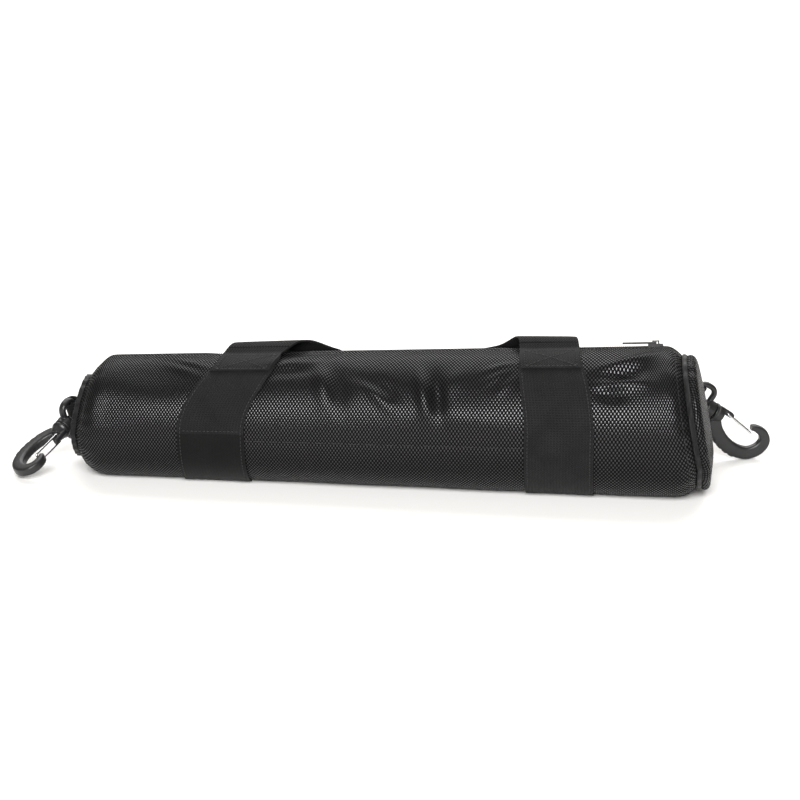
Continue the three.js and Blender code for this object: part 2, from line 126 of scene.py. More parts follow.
# ---- Camera ----
def make_camera():
    azimuth, elevation = math.radians(6.5), math.radians(18)
    distance = 1.8
    target = Vector((0.0091, 0.0042, 0.0598))
    back = Vector((math.sin(azimuth) * math.cos(elevation),
                   -math.cos(azimuth) * math.cos(elevation), math.sin(elevation)))
    data = bpy.data.cameras.new("camera")
    data.sensor_width = 36
    data.lens = 110.5
    camera = bpy.data.objects.new("camera", data)
    camera.location = target + distance * back
    camera.rotation_euler = (-back).to_track_quat("-Z", "Y").to_euler()
    bpy.context.scene.collection.objects.link(camera)
    bpy.context.scene.camera = camera


make_camera()


# ---- The soft case's surface ----
def smooth(value, low, high):
    t = np.clip((value - low) / (high - low), 0, 1)
    return t * t * (3 - 2 * t)


def signed(angle):
    """The same angle, from -180 to 180 degrees."""
    return (angle + 180) % 360 - 180


def taper(x):
    return LEFT_RADIUS + (RIGHT_RADIUS - LEFT_RADIUS) * (x + SEAM_X) / (2 * SEAM_X)


def cover_radius(x):
    left = np.clip((-x - TUCK_START["left"]) / (SEAM_X - TUCK_START["left"]), 0, 1)
    right = np.clip((x - TUCK_START["right"]) / (SEAM_X - TUCK_START["right"]), 0, 1)
    return taper(x) * (1 - TUCK["left"] * left ** 3 - TUCK["right"] * right ** 3)


# Folds in the padded wall: x, angle, half length, half width, turn from +X in degrees, height.
FOLDS = [
    (-43, 50, 17, 6, 104, 2.4), (-31, 47, 16, 7, 100, -2.0),
    (-4, 38, 13, 4, -42, 1.9), (5, 44, 12, 5, -42, -1.5), (-13, 52, 14, 5, -30, -0.9),
    (30, 42, 17, 5, 104, 2.8), (41, 38, 16, 5.5, 98, -3.0), (52, 52, 18, 8, 40, 1.0),
    (86, 66, 13, 3, 20, 1.3), (84, 56, 12, 3.2, 34, 1.1), (90, 47, 9, 3, 50, 0.9),
    (-76, 70, 26, 3.6, 8, 1.5), (-66, 79, 30, 3.4, 14, 1.2), (-72, 61, 20, 4.5, 4, -1.2),
    (178, 71, 22, 5, 20, 2.4), (172, 58, 18, 5.5, 10, -2.6), (174, 48, 17, 4, 2, 1.8),
    (163, 39, 11, 5, -8, -2.2), (200, 60, 14, 8, 60, -1.0),
    (-143, 75, 15, 3, -20, 1.3), (-147, 66, 14, 3.4, -28, 1.0), (-150, 84, 18, 3, -8, 1.0),
    (-168, 60, 26, 14, -10, -1.6), (-205, 20, 14, 22, 90, -1.5), (-190, -20, 24, 16, 0, 1.2),
    (110, -18, 60, 14, 0, 1.0), (-30, -28, 70, 12, 0, 0.9), (60, 20, 34, 10, -6, 0.9),
    (30, 150, 60, 16, 0, 1.2), (-80, 160, 30, 8, 24, 1.4), (96, 170, 26, 7, -20, 1.5),
    (-170, 150, 24, 9, 10, 1.1), (190, 150, 22, 8, -14, 1.4), (0, 200, 80, 12, 4, 1.0),
]
FOLD_GAIN = 1.35
POCKET_X = (-98, 104)           # the ends of the pocket's stitched line on the front
POCKET_ANGLE = -5
POCKET_TOP = 50


def folds(x, alpha):
    total = np.zeros_like(x)
    for x0, alpha0, length, width, turn, height in FOLDS:
        along = x - x0
        around = np.radians(signed(alpha - alpha0)) * taper(x0)
        c, s = math.cos(math.radians(turn)), math.sin(math.radians(turn))
        p, q = along * c + around * s, around * c - along * s
        total += FOLD_GAIN * height * np.exp(-(p / length) ** 2 - (q / width) ** 2)
    return total


def softness(x, alpha):
    """How far the real, soft wall stands off the frame's smooth one.

    It has folds, gathers at its end seams, a pinch under each band, a groove along the pocket's
    stitched line and a roll beside the zip.
    """
    wave = 0.35 * np.sin(x / 23 + alpha / 31) * np.sin(alpha / 19 - x / 47)
    end = smooth(np.abs(x), 203, 224)
    gathers = np.cos(np.radians(alpha) * 23 + 1.5 * np.sin(alpha / 17))
    puckers = -0.75 * end * (0.5 + 0.5 * gathers)
    side = [np.exp(-((x - band_centre(name, alpha)) / 26) ** 4) for name in BAND_X]
    pinch = -0.9 * (side[0] + side[1])
    groove = np.exp(-(np.radians(alpha - POCKET_ANGLE) * MID_RADIUS / 1.3) ** 2)
    within = (smooth(x, POCKET_X[0] - 2, POCKET_X[0] + 2)
              * smooth(-x, -POCKET_X[1] - 2, -POCKET_X[1] + 2))
    held = 1 - 0.85 * np.clip(side[0] + side[1], 0, 1)
    zip_edge = smooth(np.abs(signed(alpha - ZIP_ANGLE)), SLIT_HALF, SLIT_HALF + 14)
    roll = 1.5 * np.exp(-((alpha - ZIP_ANGLE + SLIT_HALF) / 4) ** 2) * smooth(-x, -150, -110)
    loose = (folds(x, alpha) + wave) * held * (1 - 0.7 * end) * zip_edge
    return loose + puckers + pinch - 0.55 * groove * within + roll * held * (1 - end)


# Each end's upper part leans inwards: its slope, the height it starts at, and where it sets in.
END_LEAN = {"left": (0.17, 38, 196, 228), "right": (-0.2, 30, 178, 232)}


def lean(x, z):
    return sum(slope * np.clip(z - start, 0, None) * smooth(SIGN[side] * x, *where)
               for side, (slope, start, *where) in END_LEAN.items())


def on_front(alpha):
    """1 where a band is on the front or over the top, 0 once it is round the back."""
    return signed(alpha) < BACK_TOP - 1


def band_centre(side, alpha):
    rise = smooth(signed(alpha), LEAN_START, BAND_TOP) * on_front(alpha)
    return BAND_X[side] + BAND_LEAN[side] * rise


def band_half_width(alpha):
    return WEB_W / 2 - BAND_NARROWS * smooth(signed(alpha), 40, BAND_TOP) * on_front(alpha)


def onto_case(x, alpha, radius, floor=0.0):
    a = np.radians(alpha)
    z = np.maximum(taper(np.clip(x, -SEAM_X, SEAM_X)) - SAG + radius * np.sin(a), floor)
    y = -radius * np.cos(a) + 0 * x
    return np.stack([x + lean(x, z), y, z], axis=-1)


def case_points(x, alpha, out=0.0, floor=0.0):
    """Points `out` mm off the soft wall, and no lower than `floor`."""
    x, alpha = np.broadcast_arrays(np.asarray(x, float), np.asarray(alpha, float))
    return onto_case(x, alpha, cover_radius(x) + softness(x, alpha) + out, floor)


def outward(alpha):
    """Directions square to the wall."""
    a = np.radians(alpha)
    return np.stack([0 * a, -np.cos(a), np.sin(a)], axis=-1)


def weave_map(x, alpha):
    """Cloth coordinates: the weave keeps its proportion to the taper."""
    slope = (RIGHT_RADIUS - LEFT_RADIUS) / (2 * SEAM_X)
    u = MID_RADIUS / slope * np.log(taper(x) / MID_RADIUS)
    return np.stack([u, np.radians(alpha) * MID_RADIUS], axis=-1)


# ---- Mesh helpers ----
def piece(name, points, faces, uv=None, sharp=50):
    """Mesh object from points in mm. uv, in mm, becomes the map that the cloth's weave reads."""
    points = np.asarray(points, float).reshape(-1, 3)
    mesh = bpy.data.meshes.new(name)
    mesh.from_pydata((points * MM).tolist(), [], faces)
    if uv is not None:
        layer = mesh.uv_layers.new(name="weave")
        index = np.empty(len(mesh.loops), int)
        mesh.loops.foreach_get("vertex_index", index)
        layer.data.foreach_set("uv", np.asarray(uv, float).reshape(-1, 2)[index].ravel())
    bm = bmesh.new()
    bm.from_mesh(mesh)
    bmesh.ops.recalc_face_normals(bm, faces=bm.faces)
    bm.to_mesh(mesh)
    bm.free()
    mesh.shade_smooth()
    mesh.set_sharp_from_angle(angle=math.radians(sharp))
    obj = bpy.data.objects.new(name, mesh)
    bpy.context.scene.collection.objects.link(obj)
    return obj


def grid_faces(rows, columns, start=0, wrap=False):
    last = columns if wrap else columns - 1
    return [(start + i * columns + j, start + (i + 1) * columns + j,
             start + (i + 1) * columns + (j + 1) % columns, start + i * columns + (j + 1) % columns)
            for i in range(rows - 1) for j in range(last)]


def closing_faces(rows, columns):
    """Faces from a turned grid's last row back to its first."""
    last = (rows - 1) * columns
    return [(last + j, j, (j + 1) % columns, last + (j + 1) % columns) for j in range(columns)]


def sheet(name, us, vs, points_at, map_at):
    """Closed sheet of cloth. points_at(u, v, side) has side 0 outside and 1 inside."""
    u, v = np.meshgrid(np.asarray(us, float), np.asarray(vs, float), indexing="ij")
    rows, columns = u.shape
    size = rows * columns
    points = np.concatenate([points_at(u, v, side).reshape(-1, 3) for side in (0, 1)])
    uv = np.tile(map_at(u, v).reshape(-1, 2), (2, 1))
    faces = grid_faces(rows, columns) + grid_faces(rows, columns, size)
    rim = [i * columns for i in range(rows)]
    rim += [(rows - 1) * columns + j for j in range(1, columns)]
    rim += [i * columns + columns - 1 for i in range(rows - 2, -1, -1)]
    rim += list(range(columns - 2, 0, -1))
    faces += [(a, b, b + size, a + size) for a, b in zip(rim, rim[1:] + rim[:1])]
    return piece(name, points, faces, uv)


def walk(points):
    """How far along a path each of its points is."""
    return np.concatenate([[0], np.cumsum(np.linalg.norm(np.diff(points, axis=0), axis=1))])


def resample(points, count):
    """Points spaced evenly along a smooth curve through the given ones."""
    points = np.asarray(points, float)
    ends = np.vstack([2 * points[0] - points[1], points, 2 * points[-1] - points[-2]])
    fine = []
    for p0, p1, p2, p3 in zip(ends, ends[1:], ends[2:], ends[3:]):
        t = np.linspace(0, 1, 24, endpoint=False)[:, None]
        fine.append(0.5 * (2 * p1 + (p2 - p0) * t + (2 * p0 - 5 * p1 + 4 * p2 - p3) * t ** 2
                           + (3 * p1 - p0 - 3 * p2 + p3) * t ** 3))
    fine = np.vstack([*fine, points[-1:]])
    walked = walk(fine)
    wanted = np.linspace(0, walked[-1], count)
    return np.stack([np.interp(wanted, walked, column) for column in fine.T], axis=-1)


def unit(vectors):
    return vectors / np.linalg.norm(vectors, axis=-1, keepdims=True)


def full_turn(sides):
    return np.arange(sides) / sides * 2 * math.pi


def path_normals(path):
    """Directions square to a path, in its own plane."""
    tangent = unit(np.gradient(path, axis=0))
    return np.stack([tangent[:, 1], -tangent[:, 0], 0 * tangent[:, 0]], axis=-1)


def bar(path, half_in, half_up, up, squareness=1.0, sides=16, closed=False):
    """Points and faces of a bar along path; half widths are in the path's plane and along `up`."""
    path = np.asarray(path, float)
    count = len(path)
    if closed:
        tangent = unit(np.roll(path, -1, axis=0) - np.roll(path, 1, axis=0))
    else:
        tangent = unit(np.gradient(path, axis=0))
    across = unit(np.cross(np.asarray(up, float), tangent))
    rise = np.cross(tangent, across)
    theta = full_turn(sides)
    c, s = (np.sign(f(theta)) * np.abs(f(theta)) ** squareness for f in (np.cos, np.sin))
    half_in = np.broadcast_to(half_in, (count,))
    half_up = np.broadcast_to(half_up, (count,))
    points = (path[:, None] + across[:, None] * (half_in[:, None] * c)[..., None]
              + rise[:, None] * (half_up[:, None] * s)[..., None]).reshape(-1, 3)
    faces = grid_faces(count, sides, wrap=True)
    if closed:
        faces += closing_faces(count, sides)
    else:
        faces += [tuple(range(sides)), tuple((count - 1) * sides + j for j in range(sides))]
    return points, faces


def ring(profile, sides=48):
    """Points and faces of a closed [x, radius] profile turned about X."""
    profile = np.asarray(profile, float)
    theta = full_turn(sides)
    x, radius = profile.T
    points = np.stack([np.repeat(x, sides), np.outer(radius, np.cos(theta)).ravel(),
                       np.outer(radius, np.sin(theta)).ravel()], axis=-1)
    return points, grid_faces(len(profile), sides, wrap=True) + closing_faces(len(profile), sides)


def merged(parts):
    """Several (points, faces) as one."""
    points, faces, start = [], [], 0
    for part_points, part_faces in parts:
        points.append(part_points)
        faces += [tuple(start + i for i in face) for face in part_faces]
        start += len(part_points)
    return np.concatenate(points), faces


def stitches(name, lines, pitch=3.0, length=2.3, radius=0.34, sides=6):
    """A seam's thread: one small pill for each stitch. Each line is (points, normals)."""
    turns = full_turn(sides)
    along = np.array([-0.8, 0.0, 0.8]) * length / 2
    swell = np.array([0.6, 1.0, 0.6]) * radius
    first_end, second_end = 3 * sides, 3 * sides + 1
    faces = grid_faces(3, sides, wrap=True)
    for j in range(sides):
        faces.append((first_end, (j + 1) % sides, j))
    for j in range(sides):
        faces.append((second_end, 2 * sides + j, 2 * sides + (j + 1) % sides))
    parts = []
    for points, normals in lines:
        points, normals = np.asarray(points, float), np.asarray(normals, float)
        walked = walk(points)
        count = max(1, round(walked[-1] / pitch))
        middle = (np.arange(count) + 0.5) * walked[-1] / count
        at = [np.stack([np.interp(middle + d, walked, c) for c in points.T], axis=-1)
              for d in (-0.5, 0, 0.5)]
        up = unit(np.stack([np.interp(middle, walked, c) for c in normals.T], axis=-1))
        tangent = unit(at[2] - at[0])
        side = np.cross(up, tangent)
        for place, n, t, s in zip(at[1], up, tangent, side):
            rings = [place + t * a + np.outer(np.cos(turns), s) * r + np.outer(np.sin(turns), n) * r
                     for a, r in zip(along, swell)]
            ends = [place - t * length / 2, place + t * length / 2]
            parts.append((np.vstack([*rings, ends]), faces))
    return dress(piece(name, *merged(parts), sharp=180), THREAD)


def case_line(stations, out, count=60):
    """(points, normals) of a line over the soft wall through (x, angle) stations."""
    x, alpha = resample([(x, a, 0) for x, a in stations], count)[:, :2].T
    return case_points(x, alpha, out), outward(alpha)


# ---- Materials ----
class Graph:
    """A material's node tree, with short calls for its arithmetic."""

    def __init__(self, name, color, roughness, **sockets):
        self.material = bpy.data.materials.new(name)
        self.material.use_nodes = True
        self.nodes = self.material.node_tree.nodes
        self.links = self.material.node_tree.links
        self.bsdf = self.nodes["Principled BSDF"]
        self.bsdf.inputs["Base Color"].default_value = (*color, 1)
        self.bsdf.inputs["Roughness"].default_value = roughness
        for socket, value in sockets.items():
            self.bsdf.inputs[socket.replace("_", " ")].default_value = value

    def put(self, socket, value):
        if isinstance(value, bpy.types.NodeSocket):
            self.links.new(value, socket)
        else:
            socket.default_value = value

    def math(self, operation, *values):
        node = self.nodes.new("ShaderNodeMath")
        node.operation = operation
        for socket, value in zip(node.inputs, values):
            self.put(socket, value)
        return node.outputs[0]

    def cloth_uv(self):
        node = self.nodes.new("ShaderNodeUVMap")
        node.uv_map = "weave"
        split = self.nodes.new("ShaderNodeSeparateXYZ")
        self.links.new(node.outputs[0], split.inputs[0])
        return split.outputs[0], split.outputs[1]

    def noise(self, scale, detail=3.0, stretch=(1, 1, 1)):
        place = self.nodes.new("ShaderNodeTexCoord")
        mapping = self.nodes.new("ShaderNodeMapping")
        mapping.inputs["Scale"].default_value = stretch
        node = self.nodes.new("ShaderNodeTexNoise")
        node.inputs["Scale"].default_value = scale
        node.inputs["Detail"].default_value = detail
        self.links.new(place.outputs["Object"], mapping.inputs[0])
        self.links.new(mapping.outputs[0], node.inputs["Vector"])
        return node.outputs["Fac"]

    def cosine(self, value, pitch):
        return self.math("COSINE", self.math("MULTIPLY", value, 2 * math.pi / pitch))

    def span(self, value, low, high, start=0.0, end=1.0):
        node = self.nodes.new("ShaderNodeMapRange")
        for socket, number in zip(node.inputs[:5], (value, start, end, low, high)):
            self.put(socket, number)
        return node.outputs[0]

    def shades(self, value, dark, light):
        node = self.nodes.new("ShaderNodeMix")
        node.data_type = "RGBA"
        self.put(node.inputs["Factor"], value)
        node.inputs["A"].default_value = (*dark, 1)
        node.inputs["B"].default_value = (*light, 1)
        self.links.new(node.outputs["Result"], self.bsdf.inputs["Base Color"])

    def rough(self, value, low, high):
        self.links.new(self.span(value, low, high), self.bsdf.inputs["Roughness"])

    def bump(self, height, distance, strength=1.0):
        node = self.nodes.new("ShaderNodeBump")
        node.inputs["Strength"].default_value = strength
        node.inputs["Distance"].default_value = distance * MM
        self.links.new(height, node.inputs["Height"])
        before = self.bsdf.inputs["Normal"].links
        if before:
            self.links.new(before[0].from_socket, node.inputs["Normal"])
        self.links.new(node.outputs[0], self.bsdf.inputs["Normal"])


def grey(value):
    """A black or grey with the faintest blue cast."""
    return (value, value, value * 1.03)


def basket_cloth():
    """Ballistic nylon: glossy thread crowns in offset rows, over a dull black ground."""
    g = Graph("basket_cloth", grey(0.012), 0.5, Specular_IOR_Level=0.08)
    u, v = g.cloth_uv()
    across = g.math("MULTIPLY", v, WEAVE_PITCH[0] / WEAVE_PITCH[1])
    first = g.cosine(g.math("ADD", u, across), WEAVE_PITCH[0])
    second = g.cosine(g.math("SUBTRACT", u, across), WEAVE_PITCH[0])
    crown = g.span(g.math("ADD", first, second), 0.0, 1.0, -2.0, 2.0)
    top = g.span(crown, 0.0, 1.0, 0.5, 0.75)
    worn = g.noise(26, 2.0)
    g.shades(top, grey(0.0012), grey(0.052))
    g.links.new(top, g.bsdf.inputs["Metallic"])
    g.rough(g.math("MULTIPLY_ADD", worn, 0.12, g.math("SUBTRACT", 0.94, top)), 0.3, 0.85)
    g.bump(g.noise(1600, 1.0), 0.05, 0.4)
    g.bump(crown, 0.22)
    return g.material


def webbing(name, light, rib, gloss):
    """Ribbed nylon webbing: fine ribs along it, crossed by its weft."""
    g = Graph(name, grey(light), gloss,
              Sheen_Weight=0.03, Sheen_Roughness=0.5, Specular_IOR_Level=0.12)
    u, v = g.cloth_uv()
    ribs = g.cosine(u, 2.2)
    weft = g.cosine(v, 1.7)
    knots = g.math("MULTIPLY", ribs, weft)
    height = g.math("MULTIPLY_ADD", knots, 0.5, g.math("MULTIPLY", ribs, 0.35))
    wear = g.noise(60, 4.0)
    g.shades(g.math("MULTIPLY", g.span(height, 0.2, 1.0, -0.85, 0.85), wear),
             grey(light * 0.35), grey(light * 2.1))
    g.bump(g.noise(900, 2.0), 0.05, 0.5)
    g.bump(height, rib)
    return g.material


def twill(name, light, pitch, gloss):
    """Close, flat woven tape or lining."""
    g = Graph(name, grey(light), gloss, Sheen_Weight=0.05, Specular_IOR_Level=0.2)
    u, v = g.cloth_uv()
    lines = g.cosine(g.math("ADD", u, v), pitch)
    g.shades(g.math("MULTIPLY", g.span(lines, 0.4, 1.0, -1.0, 1.0), g.noise(80, 3.0)),
             grey(light * 0.5), grey(light * 1.8))
    g.bump(lines, 0.08)
    g.bump(g.noise(240, 3.0), 0.12, 0.4)
    return g.material


def thread_look():
    g = Graph("thread", grey(0.01), 0.6, Specular_IOR_Level=0.25)
    g.bump(g.noise(3000, 1.0), 0.08, 0.6)
    g.shades(g.noise(400, 2.0), grey(0.006), grey(0.035))
    return g.material


def moulded_plastic():
    g = Graph("moulded_plastic", grey(0.015), 0.3, Specular_IOR_Level=0.35)
    g.shades(g.noise(90, 4.0), grey(0.008), grey(0.02))
    g.rough(g.noise(160, 4.0), 0.26, 0.42)
    g.bump(g.noise(1400, 2.0), 0.04, 0.35)
    return g.material


def coil_plastic():
    g = Graph("coil_plastic", grey(0.02), 0.32)
    g.shades(g.noise(300, 2.0), grey(0.012), grey(0.03))
    g.bump(g.noise(1500, 1.0), 0.03, 0.3)
    return g.material


def wire_steel():
    g = Graph("wire_steel", (0.72, 0.72, 0.73), 0.2, Metallic=1.0)
    g.rough(g.noise(700, 3.0, (1, 1, 6)), 0.14, 0.32)
    g.bump(g.noise(1100, 2.0), 0.02, 0.3)
    return g.material


def enamelled_metal():
    g = Graph("enamelled_metal", grey(0.012), 0.5, Specular_IOR_Level=0.2)
    chips = g.span(g.noise(420, 4.0), 0.0, 1.0, 0.66, 0.78)
    g.shades(chips, grey(0.012), grey(0.12))
    g.rough(g.noise(200, 3.0), 0.42, 0.6)
    g.bump(g.noise(500, 3.0), 0.03, 0.4)
    return g.material


def foam_look():
    g = Graph("foam", grey(0.2), 0.95)
    cells = g.noise(1300, 2.0)
    g.shades(cells, grey(0.07), grey(0.26))
    g.bump(cells, 0.25)
    return g.material


CLOTH = basket_cloth()
WEBBING = webbing("ribbed_webbing", 0.007, 0.3, 0.7)
# The left band's lower length is the same webbing as the rest, with its colour darkened from 0.007
# to 0.002. That is painted shade on its lower, downward-facing length. Its finer ribs are only a
# bump.
SHADED_LOWER_WEBBING = webbing("lower_webbing_painted_shade", 0.002, 0.08, 0.65)
BINDING = twill("binding_tape", 0.007, 1.3, 0.42)
TAPE = twill("zip_tape", 0.016, 1.0, 0.6)
LINING = twill("lining_taffeta", 0.05, 0.7, 0.5)
THREAD = thread_look()
PLASTIC = moulded_plastic()
COIL = coil_plastic()
STEEL = wire_steel()
ENAMEL = enamelled_metal()
FOAM = foam_look()


def dress(obj, material, body="case", replaces=()):
    """Gives a new piece its material, its body and the CAD nodes that it stands for."""
    obj.data.materials.clear()
    obj.data.materials.append(material)
    if replaces:
        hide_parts(*replaces)
    if body:
        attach(obj, body)
    return obj


# ---- Cover, padding, lining and pocket ----
def stations(step):
    """Places along the case, closer together near its end seams."""
    flat = np.arange(-TUCK_START["left"] + step, TUCK_START["right"] - step / 2, step)
    curve = np.linspace(0, 1, 16) ** 0.7
    left = -TUCK_START["left"] - (SEAM_X - TUCK_START["left"]) * curve[::-1]
    right = TUCK_START["right"] + (SEAM_X - TUCK_START["right"]) * curve
    return np.concatenate([left, flat, right])


def wall(name, node, material, depth, thickness, trim, step):
    """One layer of the wall, with its slit at the zip. It keeps to the soft surface."""
    half = SLIT_HALF + trim
    around = np.linspace(ZIP_ANGLE + half - 360, ZIP_ANGLE - half, round(330 / step))
    obj = sheet(name, stations(step * 0.8), around, lambda x, alpha, side: case_points(
        x, alpha, -depth - side * thickness, floor_at(x, depth) + side * thickness), weave_map)
    return dress(obj, material, replaces=[node])


def floor_at(x, depth):
    """Lowest height of a layer: the case rests on its bands, which sit in shallow hollows."""
    hollow = WEB_W / 2 + 3
    over_band = sum(smooth(hollow - np.abs(x - BAND_X[side]), 0, 2.5) for side in BAND_X)
    return depth + (WEB_T + GAP) * (np.clip(over_band, 0, 1) if depth < FOAM_DEPTH else 1)


def make_walls():
    wall("cover_cloth", "cover", CLOTH, 0, COVER_T, trim=0, step=1.9)
    foam = wall("wall_foam", "padding", FOAM, FOAM_DEPTH, FOAM_T, trim=3.5, step=4)
    wall("lining_cloth", "lining", LINING, LINING_DEPTH, LINING_T, trim=5, step=4)


def make_pocket():
    low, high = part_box("slip_pocket")
    x = np.linspace(low.x / MM, high.x / MM, 60)
    around = np.linspace(-14, POCKET_TOP, 34)
    gape = 1.2

    def at(x, alpha, face):
        open_by = gape * smooth(alpha, POCKET_TOP - 20, POCKET_TOP)
        return case_points(x, alpha, -POCKET_DEPTH - face * LINING_T - open_by)

    pocket = sheet("slip_pocket_cloth", x, around, at, weave_map)
    dress(pocket, LINING, replaces=["slip_pocket"])
    inside = -POCKET_DEPTH - LINING_T - gape - 0.1
    hem = [case_line([(x[0] + 2, a), (x[-1] - 2, a)], inside)
           for a in (POCKET_TOP - 5, POCKET_TOP - 3)]
    stitches("pocket_hem_stitching", hem)
    seam = [(POCKET_X[0], POCKET_ANGLE + 1), (0, POCKET_ANGLE), (POCKET_X[1], POCKET_ANGLE)]
    stitches("pocket_front_stitching", [case_line(seam, 0.0, 120)])


# ---- End caps and seam bindings ----
def end_points(side, x, radius, alpha, ripple=0.0):
    """Points of an end, x mm beyond its seam, with the puckers of its gathered rim."""
    sign = SIGN[side]
    seam = np.full_like(alpha, sign * (SEAM_X - 0.01))
    shape = softness(seam, alpha) * (radius / seam_radius(side))
    wave = ripple * np.sin(np.radians(alpha) * 31 + np.sin(alpha / 23))
    points = onto_case(seam, alpha, np.maximum(radius + shape + wave, 0))
    points[..., 0] += sign * x
    return points


def cap_profile(side):
    """(x, radius) of a stuffed cap's outside, from the seam round its rim to its middle."""
    rim = seam_radius(side)
    inward = np.linspace(1, 0, 30)
    if side == "left":
        start_x, dome = 2.9, 4.3
        return np.array([(start_x + dome * (1 - f * f), (rim - 0.9) * f) for f in inward])
    dome, roll_x, roll_out = 2.2, 4.1, 5.2
    turn = np.radians(np.linspace(152, 8, 14))
    edge = [(6.3 + roll_x * math.cos(t), rim - 4.3 + roll_out * math.sin(t)) for t in turn]
    face_x, face_r = edge[-1]
    face = [(face_x + dome * (1 - f * f), face_r * f) for f in inward[2::2]]
    return np.array(edge + face)


def make_end(side):
    profile = cap_profile(side)
    alphas = np.linspace(0, 360, 181)
    rows = np.arange(len(profile))
    walked = walk(profile)
    reach = walked[-1] - walked

    def cap_map(row, alpha):
        a, from_middle = np.radians(alpha), reach[row.astype(int)]
        return np.stack([from_middle * np.cos(a), from_middle * np.sin(a)], axis=-1)

    def layer(name, node, material, slot, depth, thickness):
        def at(row, alpha, face):
            x, radius = (np.interp(row, rows, c) for c in profile.T)
            inset = depth + face * thickness
            share = radius / profile[:, 1].max()
            return end_points(side, x - inset, np.maximum(radius - inset * share, 0), alpha,
                              0.35 * smooth(share, 0.75, 1.0))

        obj = sheet(f"{side}_{name}", rows, alphas, at, cap_map)
        weld(obj)
        return dress(obj, material, replaces=[f"{side}_{node}"])

    layer("cap_cloth", "cap_cover", CLOTH, "cover", depth=0, thickness=0.8)
    foam = layer("cap_foam", "cap_padding", FOAM, "foam", depth=1.1, thickness=2.0)
    layer("cap_liner", "cap_lining", LINING, "lining", depth=3.4, thickness=0.5)
    make_binding(side, seam_radius(side))


def weld(obj):
    """Closes a turned sheet where its first and last lines meet, and at its middle."""
    bm = bmesh.new()
    bm.from_mesh(obj.data)
    bmesh.ops.remove_doubles(bm, verts=bm.verts, dist=1e-6)
    flat = [face for face in bm.faces if face.calc_area() < 1e-12]
    bmesh.ops.delete(bm, geom=flat, context="FACES")
    seen, twins = {}, []
    for face in bm.faces:
        key = tuple(sorted(v.index for v in face.verts))
        twins += [face, seen[key]] if key in seen else []
        seen[key] = face
    bmesh.ops.delete(bm, geom=list(set(twins)), context="FACES")
    bmesh.ops.recalc_face_normals(bm, faces=bm.faces)
    bm.to_mesh(obj.data)
    bm.free()


def make_binding(side, rim):
    """Tape folded over the seam's raw edges, gathered as it goes round."""
    proud = 0.15 if side == "left" else 1.15
    loop = [(0.3, -1.0), (0.3, 0.1), (0.9, 0.8 * proud), (2.0, proud), (3.1, 0.8 * proud),
            (3.9, 0.1), (3.9, -1.0)]
    profile = resample([(x, rim + up, 0) for x, up in loop], 15)[:, :2]
    alphas = np.linspace(0, 360, 241)[:-1]
    rows, a = np.meshgrid(np.arange(len(profile)), alphas, indexing="ij")
    points = end_points(side, profile[rows, 0], profile[rows, 1], a, 0.16)
    faces = grid_faces(*rows.shape, wrap=True) + closing_faces(*rows.shape)
    uv = np.stack([rows.astype(float), np.radians(a) * rim], axis=-1)
    obj = piece(f"{side}_binding_tape", points, faces, uv)
    dress(obj, BINDING, replaces=[f"{side}_seam_binding"])
    around = np.linspace(ZIP_ANGLE + 20 - 360, ZIP_ANGLE - 20, 200)
    seam = case_points(np.full_like(around, SIGN[side] * (SEAM_X - 5)), around, 0.05)
    stitches(f"{side}_seam_stitching", [(seam, outward(around))])


# ---- Webbing bands ----
def strap_map(u, alpha):
    return np.stack([u * WEB_W / 2, np.radians(alpha) * MID_RADIUS], axis=-1)


def band(name, side, start, end, material, node, lift=0.0):
    across = np.concatenate([[-1, -0.985, -0.95], np.linspace(-0.9, 0.9, 25), [0.95, 0.985, 1]])
    around = np.linspace(start, end, round((end - start) / 2) + 2)

    def at(u, alpha, face):
        x = band_centre(side, alpha) + u * band_half_width(alpha)
        out = lift + GAP + (0 if face else WEB_T - 0.3 * np.abs(u) ** 10)
        return case_points(x, alpha, out, floor=WEB_T if face else 0.0)

    obj = sheet(name, across, around, at, strap_map)
    return dress(obj, material, replaces=[node] if node else [])


def box_x(side, low, high, out):
    """Lines of a box with a cross in it, sewn through a band."""
    half = 18.5
    corners = [(float(band_centre(side, np.array(float(alpha)))) + u * half, alpha)
               for u, alpha in ((-1, low), (1, low), (1, high), (-1, high))]
    edges = [(0, 1), (1, 2), (2, 3), (3, 0), (0, 2), (1, 3)]
    return [case_line([corners[a], corners[b]], out, 30) for a, b in edges]


def edge_lines(side, start, end, out, inset=2.2):
    """The two rows of stitching along a band's edges."""
    lines = []
    for sign in (-1, 1):
        alphas = np.linspace(start, end, 90)
        x = band_centre(side, alphas) + sign * (band_half_width(alphas) - inset)
        lines.append((case_points(x, alphas, out, floor=0.1), outward(alphas)))
    return lines


def make_bands():
    back = BACK_TOP - 360
    front = BAND_TOP - 1
    # The lower length takes the darker copy of the webbing: painted shade.
    band("left_lower_webbing", "left", back, OVERLAP_ANGLE + 0.4, SHADED_LOWER_WEBBING, "left_lower_band")
    band("left_upper_webbing", "left", OVERLAP_ANGLE + 0.6, front, WEBBING, "left_upper_band", 0.25)
    band("right_webbing", "right", back, front, WEBBING, "right_band")
    top = GAP + WEB_T
    strap_top = top + WEB_T + 0.3
    for side in BAND_X:
        stitches(f"{side}_front_edge_stitching", edge_lines(side, -60, BAND_TOP - 30, top))
        stitches(f"{side}_back_edge_stitching", edge_lines(side, back + 28, -110, top))
        boxes = box_x(side, 63, 84, strap_top) + box_x(side, back + 5, back + 26, strap_top)
        stitches(f"{side}_box_stitching", boxes, radius=0.4)
    centre = float(band_centre("left", np.array(3.0)))
    ends = [(centre + u * 21, OVERLAP_ANGLE + 3) for u in (-1, 1)]
    stitches("left_overlap_stitching", [case_line(ends, top + 0.3)])


